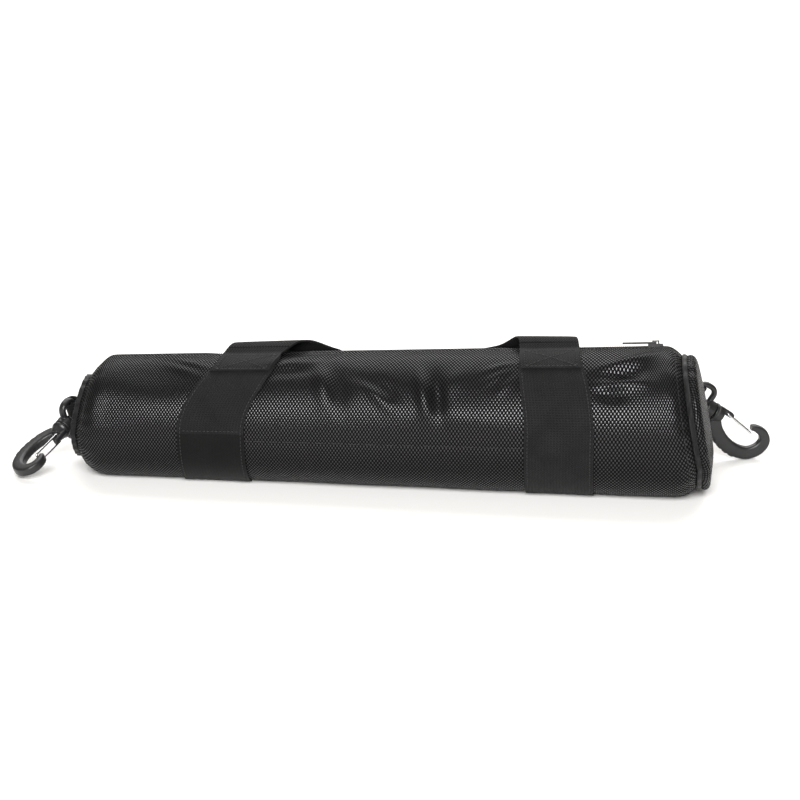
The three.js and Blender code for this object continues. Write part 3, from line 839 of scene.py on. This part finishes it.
# ---- Handles ----
def on_handle(x, root, reach, lift):
    """Points on a handle, `reach` mm past its hinge line at `root`, `lift` mm off the cover."""
    alpha = root + np.degrees(reach / taper(x))
    over = np.minimum(alpha, 180)
    soft = softness(x, over) * (1 - smooth(reach, 0, 5))
    points = onto_case(x, over, cover_radius(x) + lift + soft)
    points[..., 2] -= np.radians(np.maximum(alpha - 180, 0)) * taper(x)
    return points


def front_lift(reach):
    """How far the front handle stands off the cover: it rises at its hinge, then lies down."""
    return 2.1 + 5.5 * smooth(reach, 0, 12) - 4.8 * smooth(reach, 15, 28)


def back_lift(reach):
    return 2.1 + 2.4 * smooth(reach, 0, 8)


# Each strap's edges as (outer x, outer reach, inner x, inner reach).
FRONT_STRAP = [(-121, 0.4, -77.5, 0.4), (-116, 9, -68, 9), (-109, 18, -56, 18),
               (-100, FOLD_REACH, -41, FOLD_REACH), (-88, 41, -36, 33), (-70, 58, -29, 38),
               (-43, 72, -19, 41), (-11, 80, -4, 42), (22, 80, 20, 42), (54, 72, 38, 40),
               (80, 58, 54, 37), (101, 41, 66, 33), (125.5, FOLD_REACH, 79, FOLD_REACH),
               (134, 18, 91, 18), (138, 9, 95.5, 9), (140, 0.4, 97, 0.4)]
BACK_STRAP = [(-147, 0.4, -100, 0.4), (-146, 12, -100, 10), (-141, 28, -98, 20),
              (-127, 46, -89, 30), (-102, 62, -73, 38), (-66, 72, -49, 43), (-22, 76, -18, 46),
              (26, 76, 22, 46), (70, 72, 53, 43), (106, 62, 77, 38), (131, 46, 94, 30),
              (146, 28, 103, 20), (152, 12, 105.5, 10), (152.5, 0.4, 106, 0.4)]
ROOT_REACH = 5                  # the strap's sewn ends are pieces of their own, up to here
SEWN_LENGTH = 23                # how far each end lies on its band
SEWN_LIFT = 1.95
STRAP_ACROSS = np.concatenate([[0, 0.008, 0.03], np.linspace(0.07, 0.93, 17), [0.97, 0.992, 1]])


def strap_thickness(v, face):
    """Height of a strap's outside (face 0) above its inside, thinner at its two edges."""
    return 0 if face else WEB_T - 0.2 * np.abs(2 * v - 1) ** 10


def strap_edges(table, count=200):
    """The strap's edge stations, smoothed, without its sewn ends."""
    fine = resample(table, count)
    keep = np.minimum(fine[:, 1], fine[:, 3]) >= ROOT_REACH - 0.2
    return fine[keep]


def strap(name, table, root, lift_at):
    edges = strap_edges(table)
    middle = (edges[:, :2] + edges[:, 2:]) / 2
    length = walk(middle)
    rows = np.arange(len(edges))

    def at(row, v, face):
        x0, s0, x1, s1 = (np.interp(row, rows, c) for c in edges.T)
        reach = s0 + (s1 - s0) * v
        ripple = 0.5 * np.sin(row / 9.0) * (2 * v - 1)
        lift = lift_at(reach) + ripple + strap_thickness(v, face)
        return on_handle(x0 + (x1 - x0) * v, root, reach, lift)

    return sheet(name, rows, STRAP_ACROSS, at, lambda row, v: np.stack(
        [v * WEB_W, np.interp(row, rows, length)], axis=-1))


def strap_end(name, side, table_end, root, lift_at, step):
    """A handle's sewn end: it lies on its band, then leaves the case at the hinge line."""
    first, second = table_end
    sewn = np.linspace(-SEWN_LENGTH, 0, 16)[:-1]
    distances = np.concatenate([sewn, np.linspace(0, ROOT_REACH, 9)])

    def at(s, v, face):
        share = np.clip((s - first[1]) / (second[1] - first[1]), 0, None)
        x0 = first[0] + (second[0] - first[0]) * share
        x1 = first[2] + (second[2] - first[2]) * share
        alpha = root + step * np.degrees(np.maximum(-s, 0) / MID_RADIUS)
        at_root = band_centre(side, np.full_like(alpha, root))
        drift = np.where(s < 0, band_centre(side, alpha) - at_root, 0)
        x = x0 + (x1 - x0) * v + drift
        thick = strap_thickness(v, face)
        sewn_down = case_points(x, alpha, SEWN_LIFT + thick)
        free = on_handle(x, root, np.maximum(s, 0), lift_at(np.maximum(s, 0)) + thick)
        return np.where((s < 0)[..., None], sewn_down, free)

    return sheet(name, distances, STRAP_ACROSS, at, lambda s, v: np.stack([v * WEB_W, s], axis=-1))


def hinge(name):
    """A joint's place, in metres, and its axis."""
    joint = JOINTS[name]
    return Vector(joint["pos_m"]), Vector(joint["axis"]).normalized()


def make_handles():
    front = strap("front_handle_webbing", FRONT_STRAP, BAND_TOP, front_lift)
    dress(front, WEBBING, body=None, replaces=[
        "front_handle_left_leg", "front_handle_right_leg", "front_handle_grip"])
    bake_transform(front)
    back = strap("back_handle_webbing", BACK_STRAP, BACK_TOP, back_lift)
    dress(back, WEBBING, body="back_handle", replaces=["back_handle"])
    for which, table, root, lift_at, step, away, body in (
            ("front", FRONT_STRAP, BAND_TOP, front_lift, -1, 0, "front_handle_legs"),
            ("back", BACK_STRAP, BACK_TOP, back_lift, 1, 180, "back_handle")):
        for side, table_end in (("left", table[:2]), ("right", table[:-3:-1])):
            obj = strap_end(f"{which}_{side}_strap_end", side, table_end, root, lift_at, step)
            dress(obj, WEBBING, body=None)
            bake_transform(obj)


# ---- Zip ----
def on_zip(x, across, up):
    """Point near the zip, `across` mm behind its centre line and `up` mm off its tapes."""
    a = math.radians(ZIP_ANGLE)
    backward = np.array([0, math.sin(a), math.cos(a)])
    base = onto_case(x, np.full_like(x, ZIP_ANGLE), cover_radius(x) - TAPE_DEPTH)
    return base + np.multiply.outer(up, outward(ZIP_ANGLE)) + np.multiply.outer(across, backward)


def make_zip():
    coil_x = ZIP_HALF_X - 3
    for name, sign in (("front", -1), ("back", 1)):
        turns = ZIP_ANGLE + sign * np.linspace(0.45, SLIT_HALF - 0.3, 10)
        tape = sheet(f"{name}_tape_cloth", np.arange(-ZIP_HALF_X, ZIP_HALF_X + 1, 5), turns,
                     lambda x, alpha, side: onto_case(
                         x, alpha, cover_radius(x) - TAPE_DEPTH - side * TAPE_T), weave_map)
        dress(tape, TAPE, body=None, replaces=[f"{name}_zip_tape"])
        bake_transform(tape)
        coil = coil_turns(name, sign, coil_x)
        dress(coil, COIL, body=f"{name}_tape", replaces=[f"{name}_zip_coil"])
        rows = []
        for off in (4.6, 5.8):
            x = np.arange(-coil_x, coil_x, 4.0)
            points = on_zip(x, np.full_like(x, sign * off), np.full_like(x, -0.25))
            rows.append((points, outward(np.full_like(x, ZIP_ANGLE))))
        thread = stitches(f"{name}_tape_stitching", rows, radius=0.22)
        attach(thread, f"{name}_tape")
        hem = ZIP_ANGLE + sign * (SLIT_HALF + 3)
        line = case_line([(x, hem) for x in (-ZIP_HALF_X, 0, ZIP_HALF_X)], 0.02, 160)
        stitches(f"{name}_zip_topstitching", [line])


def coil_turns(name, sign, half_length):
    """One nylon coil of the zip, wound round the tape's edge."""
    pitch, wire = 1.35, 0.34
    count = round(2 * half_length / pitch) * 8
    t = np.linspace(0, 1, count)
    x = -half_length + 2 * half_length * t
    turn = 2 * math.pi * (x / pitch) + (math.pi / 2 if sign > 0 else -math.pi / 2)
    across = sign * 1.55 + 1.15 * np.cos(turn)
    up = 1.02 + 0.62 * np.sin(turn)
    path = on_zip(x, across, up)
    return piece(f"{name}_coil_turns", *bar(path, wire, wire, (1, 0.2, 0.1), sides=5), sharp=180)


def make_zip_ends():
    for side, sign in SIGN.items():
        x = sign * np.linspace(ZIP_HALF_X + 0.4, SEAM_X, 16)
        around = np.linspace(ZIP_ANGLE - SLIT_HALF + 0.15, ZIP_ANGLE + SLIT_HALF - 0.15, 22)
        patch = sheet(f"{side}_end_patch_cloth", x, around, lambda u, alpha, face: case_points(
            u, alpha, -face * COVER_T), weave_map)
        dress(patch, CLOTH, replaces=[f"{side}_zip_end_patch"])
        across = [(sign * (ZIP_HALF_X + 3), ZIP_ANGLE + turn) for turn in (-9.5, 9.5)]
        stitches(f"{side}_end_patch_stitching", [case_line(across, 0.1)])


def finish_slider():
    """The slider and its puller keep their frame shapes, with their cast edges rounded."""
    for node in ("zip_slider", "zip_puller"):
        obj = frame["nodes"][node]
        bevel = obj.modifiers.new("cast_edges", "BEVEL")
        bevel.width = 0.25 * MM
        bevel.segments = 3
        bevel.limit_method = "ANGLE"
        obj.data.materials.clear()
        obj.data.materials.append(ENAMEL)


# ---- Tabs and swivel hooks ----
def hanger(side):
    """The eye's frame: its bar's middle, the way down the swivel, and up and out across it."""
    down = hinge(f"{side}_swivel")[1]
    up = (Vector((0, 0, 1)) - down * down.z).normalized()
    return placed(hinge(f"{side}_eye_swing")[0] / MM, down, up, down.cross(up))


def swivel(side):
    """The hook's frame: +X down the swivel's axis, +Y towards its gate."""
    place, down = hinge(f"{side}_swivel")
    flat = -hinge(f"{side}_gate_open")[1]
    return placed(place / MM, down, flat.cross(down), flat)


def placed(origin, x, y, z):
    turn = Matrix((x, y, z)).transposed().to_4x4()
    turn.translation = origin
    return np.array(turn)


def into(matrix, points):
    return np.asarray(points, float) @ matrix[:3, :3].T + matrix[:3, 3]


def moulded(obj, voxel=0.38, rounds=4):
    """Fuses a piece's bars and rings into one moulding with soft inside corners."""
    remesh = obj.modifiers.new("fuse", "REMESH")
    remesh.mode = "VOXEL"
    remesh.voxel_size = voxel * MM
    relax = obj.modifiers.new("relax", "SMOOTH")
    relax.iterations = rounds
    relax.factor = 0.5
    keep_modified(obj)
    return obj


def keep_modified(obj):
    """Makes a piece's modifiers part of its mesh."""
    bpy.context.view_layer.update()
    mesh = bpy.data.meshes.new_from_object(obj.evaluated_get(bpy.context.evaluated_depsgraph_get()))
    obj.modifiers.clear()
    obj.data = mesh
    mesh.shade_smooth()


# The hook's middle line as (down the swivel, towards the gate, half width).
SPINE = [(4.5, -5, 5.4), (10, -10.8, 5.6), (20, -15.6, 5.4), (31, -17, 5.2), (41, -14.2, 4.8),
         (47, -7.6, 4.7), (48, 0.2, 4.4), (43.5, 5, 3.6), (37, 5.6, 2.7), (33, 4.2, 1.9)]
HOOK_T = 7
GRIP = (0.1, 0.44)              # the ridged share of the spine's length
RIDGES = 15                     # as many as the whole spine would hold
RIDGE_H = 0.55
GATE_PIVOT = np.array([10.5, 4.2, 0])
GATE_TIP = np.array([34.6, 0.6, 0])
GATE_HALF = 3.2
WIRE_R = 0.8


def make_hook(side):
    matrix = swivel(side)
    line = resample(SPINE, 90)
    share = np.linspace(0, 1, len(line))
    grip = ((share > GRIP[0]) * (share < GRIP[1]) * RIDGE_H
            * np.cos(share * 2 * math.pi * RIDGES))
    path = np.stack([line[:, 0], line[:, 1], 0 * share], axis=-1)
    path = path + path_normals(path) * (grip / 2)[:, None]
    spine = bar(path, line[:, 2] + grip / 2, HOOK_T / 2, (0, 0, 1), squareness=0.5, sides=28)
    flange = ring([(0.2, 0.01), (0.2, 6.9), (0.6, 7.2), (2.0, 7.2), (2.5, 6.8), (3.4, 6.2),
                   (8, 5.2), (8.6, 4.4), (8.6, 0.01)], 40)
    stub_path = np.array([(3.5, 4.4, 0), (6, 4.6, 0), (15.2, 4.4, 0), (16.2, 4.3, 0)])
    stub = bar(resample(stub_path, 14), np.interp(np.arange(14), [0, 11, 13], [2.3, 2.2, 1.3]), 2.1,
               (0, 0, 1), squareness=0.6)
    points, faces = merged([spine, flange, stub])
    body = moulded(piece(f"{side}_hook_moulding", into(matrix, points), faces))
    dress(body, PLASTIC, body=f"{side}_hook", replaces=[f"{side}_hook_body"])
    carve(body, gate_slots(matrix))
    pin, pin_faces = ring([(-12.3, 0.01), (-12.3, 3.2), (-12.0, 3.5), (-11.2, 3.5), (-10.9, 3.2),
                           (-10.9, 2.5), (0.4, 2.5), (0.4, 0.01)], 32)
    pin_piece = piece(f"{side}_hook_pin", into(matrix, pin), pin_faces)
    dress(pin_piece, PLASTIC, body=f"{side}_hook")


def gate_slots(matrix):
    """Clearance for the gate's two arms beside the nose and stub."""
    spare = unit(GATE_TIP - GATE_PIVOT) * 2.6
    parts = []
    for sign in (-1, 1):
        middle = np.array([0, 0, sign * GATE_HALF])
        path = np.array([GATE_PIVOT - spare, GATE_PIVOT, GATE_TIP, GATE_TIP + spare]) + middle
        parts.append(bar(path, 1.4, 1.3, (0, 0, 1), squareness=0.5, sides=16))
    points, faces = merged(parts)
    return piece("cutter", into(matrix, points), faces)


def carve(obj, cutter):
    """Cuts one mesh from another, and removes the cutter."""
    cut = obj.modifiers.new("cut", "BOOLEAN")
    cut.operation = "DIFFERENCE"
    cut.solver = "EXACT"
    cut.object = cutter
    keep_modified(obj)
    obj.data.set_sharp_from_angle(angle=math.radians(45))
    bpy.data.objects.remove(cutter)


def rounded_loop(width, height, radius, count=72):
    """Closed path round a rectangle with round corners."""
    turn = np.linspace(0, math.pi / 2, 8)
    w, h = width / 2 - radius, height / 2 - radius
    corners = [(w, h, 0), (-w, h, 1), (-w, -h, 2), (w, -h, 3)]
    quarter = math.pi / 2
    points = [(x + radius * math.cos(t + q * quarter), y + radius * math.sin(t + q * quarter), 0)
              for x, y, q in corners for t in turn]
    return resample(points + points[:1], count + 1)[:-1]


def make_eye(side):
    matrix = hanger(side)
    loop = rounded_loop(12.8, 30, 5) + np.array([6.5, 0, 0])
    link = bar(loop, 2.15, 2.7, (0, 0, 1), squareness=0.8, sides=20, closed=True)
    collar = ring([(11, 2.9), (11, 5.3), (12.4, 6.6), (13.0, 6.9), (18.2, 6.9), (18.8, 6.6),
                   (19, 6.2), (19, 2.9)], 40)
    points, faces = merged([link, collar])
    obj = moulded(piece(f"{side}_eye_moulding", into(matrix, points), faces), 0.36, 3)
    bore, bore_faces = ring([(8.2, 0.01), (8.2, 2.9), (20, 2.9), (20, 0.01)], 32)
    carve(obj, piece("cutter", into(matrix, bore), bore_faces))
    dress(obj, PLASTIC, body=f"{side}_eye", replaces=[f"{side}_hook_eye"])


def make_gate(side):
    """The gate: one bent length of steel wire, its two ends sprung into the stub."""
    matrix = swivel(side)
    inside = 0.7
    round_off = 1.3
    corners = [at + (0, 0, z) for at, z in (
        (GATE_PIVOT, -inside), (GATE_PIVOT, -GATE_HALF), (GATE_TIP, -GATE_HALF),
        (GATE_TIP, GATE_HALF), (GATE_PIVOT, GATE_HALF), (GATE_PIVOT, inside))]
    path = [corners[0]]
    for before, corner, after in zip(corners, corners[1:], corners[2:]):
        a = corner + unit(before - corner) * round_off
        b = corner + unit(after - corner) * round_off
        path += [(1 - t) ** 2 * a + 2 * t * (1 - t) * corner + t * t * b
                 for t in np.linspace(0, 1, 9)]
    path = np.array(path + [corners[-1]])
    plane = np.cross(GATE_TIP - GATE_PIVOT, (0, 0, 1))
    points, faces = bar(path, WIRE_R, WIRE_R, plane, sides=14)
    dress(piece(f"{side}_gate_wire", into(matrix, points), faces), STEEL,
          body=f"{side}_gate", replaces=[f"{side}_wire_gate"])


def make_tab(side, out, length):
    """A loop of webbing round the eye's bar, its two ends sewn together into the seam."""
    place, up = hinge(f"{side}_eye_swing")
    up = up if up.z > 0 else -up
    out = (Vector(out) - Vector(out).dot(up) * up).normalized()
    matrix = placed(place / MM, out, up.cross(out), up)
    turn = np.linspace(-math.pi / 2, math.pi / 2, 14)
    radius = 4.7
    arc = [(radius * math.cos(t), radius * math.sin(t), 0) for t in turn]
    leg = [(-length, -0.85, 0), (-length * 0.7, -1.5, 0), (-length * 0.3, -3.9, 0)]
    path = resample(leg + arc + [(x, -y, z) for x, y, z in leg[::-1]], 60)
    rows = np.arange(len(path))
    normal = path_normals(path)
    walked = walk(path)
    across = np.concatenate([[-12.5, -12.3, -11.8], np.linspace(-11, 11, 11), [11.8, 12.3, 12.5]])

    def at(row, z, face):
        index = row.astype(int)
        off = 0.68 * (1 - 2 * face) * (1 - 0.25 * (np.abs(z) / across[-1]) ** 10)
        local = path[index] + normal[index] * off[..., None]
        local[..., 2] += z
        return into(matrix, local)

    obj = sheet(f"{side}_tab_webbing", rows, across, at, lambda row, z: np.stack(
        [z, np.interp(row, rows, walked)], axis=-1))
    dress(obj, WEBBING, replaces=[f"{side}_tab"])
    near = np.array([(-length * 0.62, -2.45, z) for z in np.linspace(-11, 11, 20)])
    thread = [(into(matrix, near * (1, face, 1)), np.tile(matrix[:3, 1] * face, (len(near), 1)))
              for face in (-1, 1)]
    stitches(f"{side}_tab_stitching", thread, pitch=2.6, length=2.1)


def make_hangers():
    make_tab("left", (-1, 0, 0), 9.5)
    make_tab("right", (0, 1, 0), 13.5)
    for side in BAND_X:
        make_eye(side)
        make_hook(side)
        make_gate(side)


# ---- Studio ----
def make_studio():
    half = 8
    corners = [(-half, -half, 0), (half, -half, 0), (half, half, 0), (-half, half, 0)]
    floor_mesh = bpy.data.meshes.new("floor")
    floor_mesh.from_pydata(corners, [], [(0, 1, 2, 3)])
    floor = bpy.data.objects.new("floor", floor_mesh)
    floor.location.z = min(0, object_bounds()[0].z) - 0.0002
    bpy.context.scene.collection.objects.link(floor)
    paper = Graph("white_floor", (0.93, 0.92, 0.905), 0.8)
    floor_mesh.materials.append(paper.material)
    world = bpy.data.worlds.new("studio")
    world.use_nodes = True
    background = world.node_tree.nodes["Background"]
    background.inputs["Color"].default_value = (1, 0.94, 0.86, 1)
    background.inputs["Strength"].default_value = 0.2
    bpy.context.scene.world = world
    softbox("overhead_softbox", (0, 0.8, 1.9), (0, 0, 0), size=(2.8, 1.0), power=20)
    softbox("backdrop_softbox", (0, 3.6, 2.6), (0, 3.2, 0), size=(6.0, 3.6), power=190)
    softbox("front_softbox", (0.1, -2.2, 1.4), (0, 0, 0.05), size=(1.6, 1.1), power=118)
    bpy.context.scene.view_settings.view_transform = "Standard"


def softbox(name, place, target, size, power):
    light = bpy.data.lights.new(name, "AREA")
    light.shape = "RECTANGLE"
    light.size, light.size_y = size
    light.energy = power
    obj = bpy.data.objects.new(name, light)
    obj.location = place
    obj.rotation_euler = (Vector(target) - Vector(place)).to_track_quat("-Z", "Y").to_euler()
    bpy.context.scene.collection.objects.link(obj)


make_walls()
make_pocket()
make_end("left")
make_end("right")
make_bands()
make_handles()
make_zip()
make_zip_ends()
finish_slider()
make_hangers()
make_studio()
